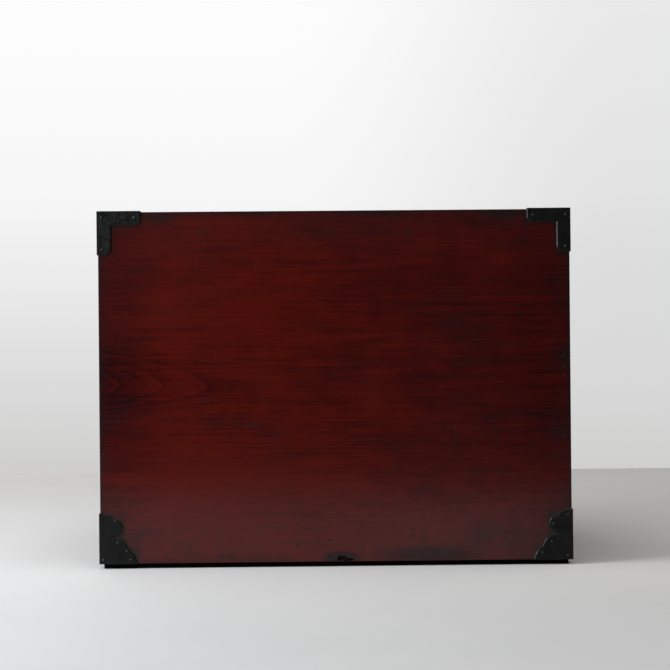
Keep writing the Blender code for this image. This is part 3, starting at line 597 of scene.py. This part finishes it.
# %% Wood without lacquer
def bare_wood(name, order, heart, pale, dark, width, index=1.4, gloss=0.55):
    """Wood between two tones, with rings of this width. order and heart are meant as for lacquer."""
    material, place = new_finish(name, {"IOR": index})
    axes = grain_axes(place, order)
    slow = grain_noise(axes, 1.5, 6.0, 2.0)
    fine = grain_noise(axes, 12.0, 700.0, 3.0, 0.6)
    band = grain_noise(axes, 1.2, 60.0, 3.0, 0.6)
    radius = from_heart(axes, heart, (slow - 0.5) * 0.05) + (band - 0.5) * (width * 2.5)
    ring = years(radius, width)
    depth = ring * 0.35 + (fine - 0.5) * 0.8 + slow * 0.3 + (band - 0.5) * 0.6
    feed(material, {
        "Base Color": depth.rises(0.0, 0.9).mixes(pale, dark),
        "Roughness": gloss + fine * 0.2,
        "Normal": bumped(ring * 0.4 + fine, 0.2, GRAIN_HEIGHT),
    })
    return material


PALE_WOOD = colour(0.50, 0.34, 0.19)
DARK_WOOD = colour(0.29, 0.17, 0.085)
long_paulownia = bare_wood("long_paulownia", "XZY", (0.02, 0.40), PALE_WOOD, DARK_WOOD, 0.005)
deep_paulownia = bare_wood("deep_paulownia", "YZX", (0.03, 0.70), PALE_WOOD, DARK_WOOD, 0.005)
flat_paulownia = bare_wood("flat_paulownia", "XYZ", (0.10, 0.50), PALE_WOOD, DARK_WOOD, 0.006)

# %% Battens, pegs, broken wood and end grain
BATTEN_SHADE_PALE = colour(0.0040, 0.0026, 0.0024)
BATTEN_SHADE_DARK = colour(0.0016, 0.0012, 0.0012)
PEG_END = colour(0.0110, 0.0098, 0.0092)
PEG_PORE = colour(0.0072, 0.0064, 0.0060)
BOX_PEG_END = colour(0.17, 0.09, 0.045)
BOX_PEG_PORE = colour(0.09, 0.045, 0.022)
BROKEN_WOOD = colour(0.0095, 0.0072, 0.0062)
BROKEN_PORE = colour(0.0040, 0.0031, 0.0028)
# Painted shade: the battens are made nearly black to stand for the shade in the low gap under the chest.
batten_shade_wood = bare_wood("batten_shade_wood", "XYZ", (0.05, 0.20), BATTEN_SHADE_PALE, BATTEN_SHADE_DARK, 0.004, 1.1)
peg_wood = bare_wood("peg_wood", "YXZ", (0.10, 0.10), PEG_END, PEG_PORE, 0.001, 1.37, 0.14)
box_peg_wood = bare_wood("box_peg_wood", "XYZ", (0.10, 0.10), BOX_PEG_END, BOX_PEG_PORE, 0.001)
broken_wood = bare_wood("broken_wood", "XYZ", (0.05, 0.20), BROKEN_WOOD, BROKEN_PORE, 0.002, 1.1)
end_grain = bare_wood("end_grain", "XYZ", (0.06, 0.30), MID_RED, DEEP_RED, 0.003, 1.12)

# %% [markdown]
# ## Forged iron
# The irons were cut from sheet, hammered flat, filed along the edge and blackened with lacquer. Up close the surface
# is slightly wavy and mottled, and on one upper iron the black has worn into patches. The file leaves the edge
# smoother than the hammer leaves the face, and nail heads are polished by every cloth that wipes the chest, so both
# shine more than the plate does.

# %% Black iron, worn iron, filed edges and nail heads
DENT_DEPTH = 0.0005


def blackened(name, index, roughness, dark, pale, patches=70.0):
    """Blackened iron with this index of refraction, mean roughness, range of grey and patches per metre."""
    material, place = new_finish(name, {"IOR": index})
    patch = place.noise(patches, 4.0, 0.65)
    grit = place.noise(450.0, 3.0, 0.65)
    dent = place.noise(160.0, 1.0)
    worn = (patch * 0.6 + grit * 0.4).rises(0.32, 0.68)
    tone = worn.mixes(colour(dark, dark, dark), colour(pale, pale, pale * 0.97))
    gloss = roughness - 0.12 + patch * 0.14 + grit * 0.10
    relief = bumped(dent + grit * 1.2, 0.35, DENT_DEPTH)
    feed(material, {"Base Color": tone, "Roughness": gloss, "Normal": relief})
    return material


iron = blackened("black_iron", 1.24, 0.44, 0.0022, 0.0085)
worn_iron = blackened("worn_iron", 1.24, 0.46, 0.0002, 0.0150, 200.0)
filed_iron = blackened("filed_iron", 1.3, 0.34, 0.0030, 0.0070)
nail_iron = blackened("nail_iron", 1.35, 0.34, 0.0050, 0.0120)

# %% [markdown]
# ## From solid to piece
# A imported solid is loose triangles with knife-sharp corners, and no planed board looks like that: a maker eases every
# edge with a stroke of the plane, and that small facet is what catches the light. So each solid is copied, its
# triangles are merged into faces, and its edges are bevelled. Weighted normals keep the broad faces flat.

# %% Merged copies
SAME_PLACE = 1e-6
FLAT_ANGLE = 0.5


def merged(node):
    """A bmesh of a solid, with its triangles joined into flat faces."""
    shape = bmesh.new()
    shape.from_mesh(frame["nodes"][node].data)
    bmesh.ops.remove_doubles(shape, verts=shape.verts, dist=SAME_PLACE)
    bmesh.ops.dissolve_limit(shape, angle_limit=math.radians(FLAT_ANGLE), verts=shape.verts, edges=shape.edges)
    return shape


sample = merged("back_panel")
print("back_panel:", len(frame["nodes"]["back_panel"].data.polygons), "triangles become", len(sample.faces), "faces")
sample.free()

# %% Eased edges and finished pieces
EASED_ANGLE = 35.0
BOARD_SHARP = 38.0


def bevel(shape, edges, width, segments, material=-1, clamp=False):
    """Bevels these edges. The new faces get this material, or their neighbours' one if it is -1."""
    bmesh.ops.bevel(
        shape, geom=edges, offset=width, offset_type="OFFSET", affect="EDGES",
        segments=segments, profile=0.5, material=material, clamp_overlap=clamp,
    )


def ease(shape, width, segments=2):
    """Bevels the edges that turn by more than EASED_ANGLE."""
    sharp = [edge for edge in shape.edges if edge.calc_face_angle(0.0) > math.radians(EASED_ANGLE)]
    bevel(shape, sharp, width, segments, clamp=True)


def finished(name, shape, finishes, body, replaced=(), sharp=BOARD_SHARP):
    """Makes the bmesh an object that rides on a body and stands for these solids."""
    mesh = bpy.data.meshes.new(name)
    shape.to_mesh(mesh)
    shape.free()
    for finish in finishes:
        mesh.materials.append(finish)
    mesh.set_sharp_from_angle(angle=math.radians(sharp))
    made = bpy.data.objects.new(name, mesh)
    scene.collection.objects.link(made)
    weighted = made.modifiers.new("flat_faces", "WEIGHTED_NORMAL")
    weighted.keep_sharp = True
    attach(made, body)
    if replaced:
        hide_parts(*replaced)
    return made


def body_of(node):
    """The body that carries a solid."""
    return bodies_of(frame["nodes"][node])[0]


def eased_copy(node, finish, width):
    """A copy of a solid in one finish, with its edges eased by this width."""
    shape = merged(node)
    ease(shape, width)
    finished(f"{node}_eased", shape, [finish], body_of(node), [node])


print("edges that turn by more than", EASED_ANGLE, "degrees are eased")

# %% [markdown]
# ## Boards
# Grain always runs the long way of a board, because wood is strong along it and swells across it. The copies are
# grouped by that direction, so each group can take its own solid pattern. Show wood is eased more than drawer sides.

# %% Carcase, drawer fronts and door
LEVEL = Vector((1, 0, 0))
UPRIGHT = Vector((0, 0, 1))
BOARD_EASE = 0.0007
BOARDS = (
    (flat_lacquer, LEVEL, ["top_board", "bottom_board", "mid_shelf", "drawer_shelf"]),
    (upright_lacquer, UPRIGHT, ["left_side", "right_side", "divider"]),
    (level_lacquer, LEVEL, ["upper_drawer_front", "right_upper_drawer_front", "right_lower_drawer_front"]),
    (level_lacquer, LEVEL, ["door_top_clamp", "door_bottom_clamp"]),
    (door_lacquer, UPRIGHT, ["door_panel"]),
)
for finish, grain, nodes in BOARDS:
    for node in nodes:
        shape = merged(node)
        ease(shape, BOARD_EASE)
        for face in shape.faces:
            face.material_index = 1 if abs(face.normal.dot(grain)) > 0.9 else 0
        finished(f"{node}_eased", shape, [finish, end_grain], body_of(node), [node])
    print(finish.name, "on", ", ".join(nodes))

# %% Drawer boxes, inner shelf and battens
DRAWERS = ("upper_drawer", "right_upper_drawer", "right_lower_drawer")
BOX_EASE = 0.0005
BOTTOM_EASE = 0.0004
BATTEN_EASE = 0.0006
for drawer in DRAWERS:
    eased_copy(f"{drawer}_left", deep_paulownia, BOX_EASE)
    eased_copy(f"{drawer}_right", deep_paulownia, BOX_EASE)
    eased_copy(f"{drawer}_back", long_paulownia, BOX_EASE)
    eased_copy(f"{drawer}_bottom", flat_paulownia, BOTTOM_EASE)
eased_copy("compartment_shelf", flat_paulownia, BOX_EASE)
for batten in ("base_runner_front", "base_runner_rear"):
    eased_copy(batten, batten_shade_wood, BATTEN_EASE)
print(len(DRAWERS), "drawer boxes, a shelf and two battens")

# %% [markdown]
# ## The back board
# The board in the picture has had knocks: a chip where a knot broke out of its foot, and two nicks in its upper edge.
# Each is made of small lumps that are pressed into the edge of the copy with a Boolean. Its result is taken over as
# a plain mesh, so the piece needs no cutter later.

# %% Lumps that cut
BROKEN = 2
LUMPINESS = 0.16
LUMP_TURN = 7.3


def knock(shape, place, size):
    """Adds a lumpy cutter of this size to a bmesh."""
    lump = bmesh.ops.create_icosphere(shape, subdivisions=2, radius=1.0)["verts"]
    for index, vert in enumerate(lump):
        vert.co *= 1.0 + LUMPINESS * math.sin(LUMP_TURN * index)
    bmesh.ops.scale(shape, vec=size, verts=lump)
    bmesh.ops.translate(shape, vec=place, verts=lump)
    for face in shape.faces:
        face.material_index = BROKEN


def carved(name, shape, cutters):
    """The bmesh less the cutters, as a new bmesh."""
    objects = []
    for label, source in ((name, shape), (f"{name}_cutters", cutters)):
        mesh = bpy.data.meshes.new(label)
        source.to_mesh(mesh)
        source.free()
        objects.append(bpy.data.objects.new(label, mesh))
        scene.collection.objects.link(objects[-1])
    solid, cutter = objects
    cut = solid.modifiers.new("knocks", "BOOLEAN")
    cut.operation = "DIFFERENCE"
    cut.solver = "EXACT"
    cut.use_self = True
    cut.object = cutter
    result = bmesh.new()
    result.from_object(solid, bpy.context.evaluated_depsgraph_get())
    for made in objects:
        mesh = made.data
        bpy.data.objects.remove(made)
        bpy.data.meshes.remove(mesh)
    return result


print("lumps vary by", LUMPINESS, "of their radius")

# %% Back board with its chip and nicks
BACK_EASE = 0.0010
KNOCKS = (
    ((-0.0066, back_high.y + 0.0006, back_low.z + 0.0045), (0.0066, 0.0030, 0.0036)),
    ((-0.0150, back_high.y + 0.0004, back_low.z + 0.0025), (0.0075, 0.0024, 0.0022)),
    ((-0.0951, back_high.y, back_high.z + 0.0004), (0.0020, 0.0020, 0.0012)),
    ((-0.2047, back_high.y, back_high.z + 0.0004), (0.0016, 0.0020, 0.0011)),
)
knocks = bmesh.new()
for place, size in KNOCKS:
    knock(knocks, place, size)
back_shape = merged("back_panel")
ease(back_shape, BACK_EASE, 3)
back_shape = carved("back_panel_board", back_shape, knocks)
for face in back_shape.faces:
    if face.material_index == 0 and max(abs(face.normal.x), abs(face.normal.z)) > 0.3:
        face.material_index = 1
print("broken faces", sum(1 for face in back_shape.faces if face.material_index == BROKEN))
back_finishes = [back_finish, end_grain, broken_wood]
finished("back_panel_board", back_shape, back_finishes, "chest", ["back_panel"])
print("back board", [round(side, 4) for side in back_high - back_low], "m with", len(KNOCKS), "lumps cut out")

# %% [markdown]
# ## Irons with a filed edge
# A smith cuts the plate, folds it round the corner over a stake, and files a slope along the cut edge, so that it
# doesn't catch. The slope is the thin bright line round the cloud-shaped lower irons in the picture. Here the outer
# faces are inset as one region, so the folds stay whole, and the outline is then pressed towards the wood.

# %% Filed plates
FILED_WIDTH = 0.0012
FILED_DEPTH = 0.0008
FOLD = 0.0010
PLATE_SHARP = 16.0
SAME_PLANE = 1e-4


def outward_faces(shape, directions):
    """Faces on the outermost plane of each direction."""
    found = []
    for direction in directions:
        reach = max(vert.co.dot(direction) for vert in shape.verts)
        for face in shape.faces:
            depth = reach - face.calc_center_median().dot(direction)
            if face.normal.dot(direction) > 0.99 and depth < SAME_PLANE:
                found.append(face)
    return found


def file_outline(shape, foot=None):
    """Slopes the outline of the faces that carry material 1. Points at the foot's height keep their place."""
    plate = [face for face in shape.faces if face.material_index == 1]
    slope = bmesh.ops.inset_region(shape, faces=plate, thickness=FILED_WIDTH, use_boundary=True)["faces"]
    moves = {}
    for vert in shape.verts:
        outer = [face for face in vert.link_faces if face.material_index == 1]
        if not outer or len(outer) == len(vert.link_faces):
            continue
        inward = -sum((face.normal for face in outer), Vector()).normalized()
        spans = [(edge.other_vert(vert).co - vert.co).dot(inward) for edge in vert.link_edges]
        if max(spans) > FILED_DEPTH and (foot is None or vert.co.z > foot + SAME_PLANE):
            moves[vert] = inward * FILED_DEPTH
    for vert, move in moves.items():
        vert.co += move
    filed = set(slope)
    for face in shape.faces:
        face.material_index = 1 if face in filed and face.normal.z > -0.2 else 0


def filed_plate(node, directions, face_finish, foot=None):
    """A copy of an iron plate with rounded folds and a filed outline."""
    shape = merged(node)
    plate = outward_faces(shape, directions)
    for face in plate:
        face.material_index = 1
    chosen = set(plate)
    folds = [edge for edge in shape.edges if len(set(edge.link_faces) & chosen) == 2]
    if folds:
        bevel(shape, folds, FOLD, 3)
    file_outline(shape, foot)
    finishes = [face_finish, filed_iron]
    finished(f"{node}_filed", shape, finishes, body_of(node), [node], PLATE_SHARP)


print("filed slopes are", FILED_WIDTH * 1000, "mm wide and", FILED_DEPTH * 1000, "mm deep")

# %% Corner irons
IRON_EASE = 0.0004
IRONS = [
    f"{end}_{level}_{side}_iron"
    for end in ("rear", "front")
    for level in ("upper", "lower")
    for side in ("left", "right")
]
for node in IRONS:
    if node.startswith("front_lower"):
        eased_copy(node, iron, IRON_EASE)
        continue
    low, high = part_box(node)
    middle = (low + high) / 2
    outwards = [Vector((math.copysign(1, middle.x), 0, 0)), Vector((0, math.copysign(1, middle.y), 0))]
    if "upper" in node:
        outwards.append(UPRIGHT)
    face_finish = worn_iron if node == "rear_upper_right_iron" else iron
    filed_plate(node, outwards, face_finish, low.z if "lower" in node else None)
print(len(IRONS), "corner irons")

# %% [markdown]
# ## Handles, hinges and lock
# The plates behind the bails and the lock are filed like the corner irons. Their faces have eyes or a keyhole in
# them, so here only the convex edges of the rim are bevelled, which leaves the roots of the eyes alone. The bevel
# pulls the rim in, so the face is taken out and filled again between the new rim and the eyes. The bails were drawn
# down from round bar, so their copies get a subdivision surface, which turns the few sides of the solid into a round
# bar.

# %% Plates with a filed rim
SHEET = 0.0012


def rimmed_plate(node, direction):
    """A copy of a flat plate with a filed rim; whatever stands up from its face is left as it is."""
    shape = merged(node)
    level = min(vert.co.dot(direction) for vert in shape.verts) + SHEET

    def plate_faces():
        faces = [face for face in shape.faces if face.normal.dot(direction) > 0.99]
        return [face for face in faces if abs(face.calc_center_median().dot(direction) - level) < SAME_PLANE]

    plate = set(plate_faces())
    rim = [edge for edge in shape.edges if edge.is_convex and len(plate & set(edge.link_faces)) == 1]
    bevel(shape, rim, FILED_DEPTH, 1, material=1)
    bmesh.ops.delete(shape, geom=plate_faces(), context="FACES_KEEP_BOUNDARY")
    border = [edge for edge in shape.edges if edge.is_boundary]
    bmesh.ops.triangle_fill(shape, use_beauty=True, edges=border, normal=direction)
    finishes = [iron, filed_iron]
    finished(f"{node}_filed", shape, finishes, body_of(node), [node], PLATE_SHARP)


print("plates of", SHEET * 1000, "mm sheet get a rim")

# %% Handle plates and bails
FORWARDS = Vector((0, -1, 0))
LEFTWARDS = Vector((-1, 0, 0))
RIGHTWARDS = Vector((1, 0, 0))
HANDLES = dict.fromkeys((*DRAWERS, "door"), FORWARDS)
HANDLES["left_side"] = LEFTWARDS
HANDLES["right_side"] = RIGHTWARDS
for handle, direction in HANDLES.items():
    rimmed_plate(f"{handle}_handle_plate", direction)
    bail_node = f"{handle}_handle_bail"
    bar = merged(bail_node)
    bail = finished(f"{bail_node}_round", bar, [filed_iron], body_of(bail_node), [bail_node])
    round_bar = bail.modifiers.new("round_bar", "SUBSURF")
    round_bar.levels = round_bar.render_levels = 1
print(len(HANDLES), "handles")

# %% Hinges and lock
HINGES = ("door_hinge_upper", "door_hinge_lower")
HINGE_EASE = 0.0003
CASE_EASE = 0.0005
for hinge in HINGES:
    for part in ("frame_leaf", "door_leaf", "pin"):
        eased_copy(f"{hinge}_{part}", iron, HINGE_EASE)
rimmed_plate("door_lock_plate", FORWARDS)
eased_copy("door_lock_case", iron, CASE_EASE)
eased_copy("door_lock_bolt", iron, IRON_EASE)
print(len(HINGES), "hinges and a lock")

# %% [markdown]
# ## Nails
# Each plate is held by hand-made nails with low domed heads. One head is a short profile spun about its axis, and a
# fitting's nails are joined in one piece, which rides with whatever the plate is nailed to.

# %% Nail heads
NAIL_RADIUS = 0.0016
NAIL_HEIGHT = 0.0008
NAIL_PROFILE = ((0.0, 1.0), (0.45, 0.86), (0.8, 0.45), (1.0, 0.0), (0.9, -0.4))


def add_heads(shape, places, radius, height):
    """Adds a low dome of this radius and height at each (place, direction it faces)."""
    for place, out in places:
        profile = [shape.verts.new((across * radius, 0.0, up * height)) for across, up in NAIL_PROFILE]
        edges = [shape.edges.new(pair) for pair in zip(profile, profile[1:])]
        old = set(shape.verts) - set(profile)
        bmesh.ops.spin(
            shape, geom=profile + edges, cent=(0, 0, 0), axis=(0, 0, 1), dvec=(0, 0, 0),
            angle=math.tau, steps=12, use_merge=True, use_duplicate=False,
        )
        head = [vert for vert in shape.verts if vert not in old]
        bmesh.ops.rotate(shape, verts=head, cent=(0, 0, 0), matrix=out.to_track_quat("Z", "Y").to_matrix())
        bmesh.ops.translate(shape, verts=head, vec=place)
    bmesh.ops.remove_doubles(shape, verts=shape.verts, dist=SAME_PLACE)
    bmesh.ops.recalc_face_normals(shape, faces=shape.faces)


def nails(name, places, body):
    """One piece with a nail head at each (place, direction it faces)."""
    shape = bmesh.new()
    add_heads(shape, places, NAIL_RADIUS, NAIL_HEIGHT)
    finished(name, shape, [nail_iron], body)
    return len(places)


print("nail heads are", 2000 * NAIL_RADIUS, "mm wide and", 1000 * NAIL_HEIGHT, "mm high")

# %% Nails in the corner irons
UPPER_NAILS = ((0.0065, 0.0087), (0.048, 0.0087), (0.0069, 0.049))
LEFT_LOWER_NAILS = ((0.0060, 0.0575), (0.0247, 0.0455), (0.0266, 0.0228), (0.0390, 0.0090), (0.0068, 0.0052))
RIGHT_LOWER_NAILS = ((0.0055, 0.0050), (0.0205, 0.0540), (0.0240, 0.0270), (0.0352, 0.0165), (0.0400, 0.0050))
count = 0
for node in IRONS:
    low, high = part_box(node)
    middle = (low + high) / 2
    side = math.copysign(1, middle.x)
    end = math.copysign(1, middle.y)
    rise = -1 if "upper" in node else 1
    outer = Vector((
        high.x if side > 0 else low.x,
        high.y if end > 0 else low.y,
        high.z if rise < 0 else low.z,
    ))
    lower_nails = LEFT_LOWER_NAILS if side < 0 else RIGHT_LOWER_NAILS
    places = []
    for u, v in UPPER_NAILS if "upper" in node else lower_nails:
        if node.startswith("rear") or "upper" in node:
            places.append((outer + Vector((-side * u, 0, rise * v)), Vector((0, end, 0))))
        places.append((outer + Vector((0, -end * u, rise * v)), Vector((side, 0, 0))))
        if "upper" in node:
            places.append((outer + Vector((-side * u, -end * v, 0)), UPRIGHT))
    count += nails(f"{node}_nails", places, "chest")
print(count, "nails in the corner irons")

# %% Nails in the handle plates and lock plate
END_TO_NAIL = 0.0075
EDGE_TO_NAIL = 0.0060


def plate_nails(node, direction):
    """A nail near each end of a plate's two middle lines."""
    low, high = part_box(node)
    along = UPRIGHT.cross(direction)
    middle = (low + high) / 2
    face = min(low.dot(direction), high.dot(direction)) + SHEET
    middle = middle + direction * (face - middle.dot(direction))
    half_long = abs((high - low).dot(along)) / 2 - END_TO_NAIL
    half_high = (high.z - low.z) / 2 - EDGE_TO_NAIL
    steps = (along * half_long, along * -half_long, UPRIGHT * half_high, UPRIGHT * -half_high)
    return nails(f"{node}_nails", [(middle + step, direction) for step in steps], body_of(node))


count = plate_nails("door_lock_plate", FORWARDS)
for handle, direction in HANDLES.items():
    count += plate_nails(f"{handle}_handle_plate", direction)
print(count, "nails in the handles and lock")

# %% Nails in the hinges
STRAP_NAILS = ((0.016, 0.011), (0.016, -0.011), (0.036, 0.0), (0.056, 0.0))
LEAF_NAILS = ((-0.0105, 0.012), (-0.0105, -0.012))
HINGE_LEAF = 0.0014
count = 0
for hinge in HINGES:
    low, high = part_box(f"{hinge}_pin")
    axis = (low + high) / 2
    leaf_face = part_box(f"{hinge}_frame_leaf")[1].y - HINGE_LEAF
    for leaf, nail_places in (("door_leaf", STRAP_NAILS), ("frame_leaf", LEAF_NAILS)):
        places = [(Vector((axis.x + u, leaf_face, axis.z + v)), FORWARDS) for u, v in nail_places]
        count += nails(f"{hinge}_{leaf}_nails", places, body_of(f"{hinge}_{leaf}"))
print(count, "nails in the hinges")

# %% [markdown]
# ## Pegs
# The back board is planted on over the ends of the other boards and held by small wooden pegs, whose ends have gone
# grey under the lacquer. They stand where the picture shows them. The drawer boxes are pegged too, three to a corner.
# A peg's end is a very low dome, so it is made like a nail head, only flatter.

# %% Pegs in the back board
PEG_RADIUS = 0.0017
PEG_HEIGHT = 0.0003
PEG_PLACES = (
    (-0.2916, 0.2672), (-0.2919, 0.2532), (-0.2914, 0.2417), (-0.2915, 0.1653),
    (0.2951, 0.1462), (0.1457, 0.0128), (0.0499, 0.0274), (0.0076, 0.0340), (-0.0963, 0.0380),
)
BACKWARDS = Vector((0, 1, 0))
places = [(Vector((across, back_high.y, up)), BACKWARDS) for across, up in PEG_PLACES]
peg_shape = bmesh.new()
add_heads(peg_shape, places, PEG_RADIUS, PEG_HEIGHT)
finished("back_panel_pegs", peg_shape, [peg_wood], "chest")
print(len(PEG_PLACES), "pegs in the back board")

# %% Pegs in the drawer boxes
BOX_PEG_RADIUS = 0.0026
BOX_PEG_HEIGHT = 0.0002
BOX_PEG_INSET = 0.0045
BOX_PEG_SHARES = (0.16, 0.5, 0.84)
for drawer in DRAWERS:
    places = []
    for side, out in (("left", LEFTWARDS), ("right", RIGHTWARDS)):
        low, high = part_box(f"{drawer}_{side}")
        outer = low.x if side == "left" else high.x
        for along in (low.y + BOX_PEG_INSET, high.y - BOX_PEG_INSET):
            for share in BOX_PEG_SHARES:
                places.append((Vector((outer, along, low.z + (high.z - low.z) * share)), out))
    shape = bmesh.new()
    add_heads(shape, places, BOX_PEG_RADIUS, BOX_PEG_HEIGHT)
    finished(f"{drawer}_pegs", shape, [box_peg_wood], body_of(f"{drawer}_left"))
    print(len(places), "pegs in", drawer)
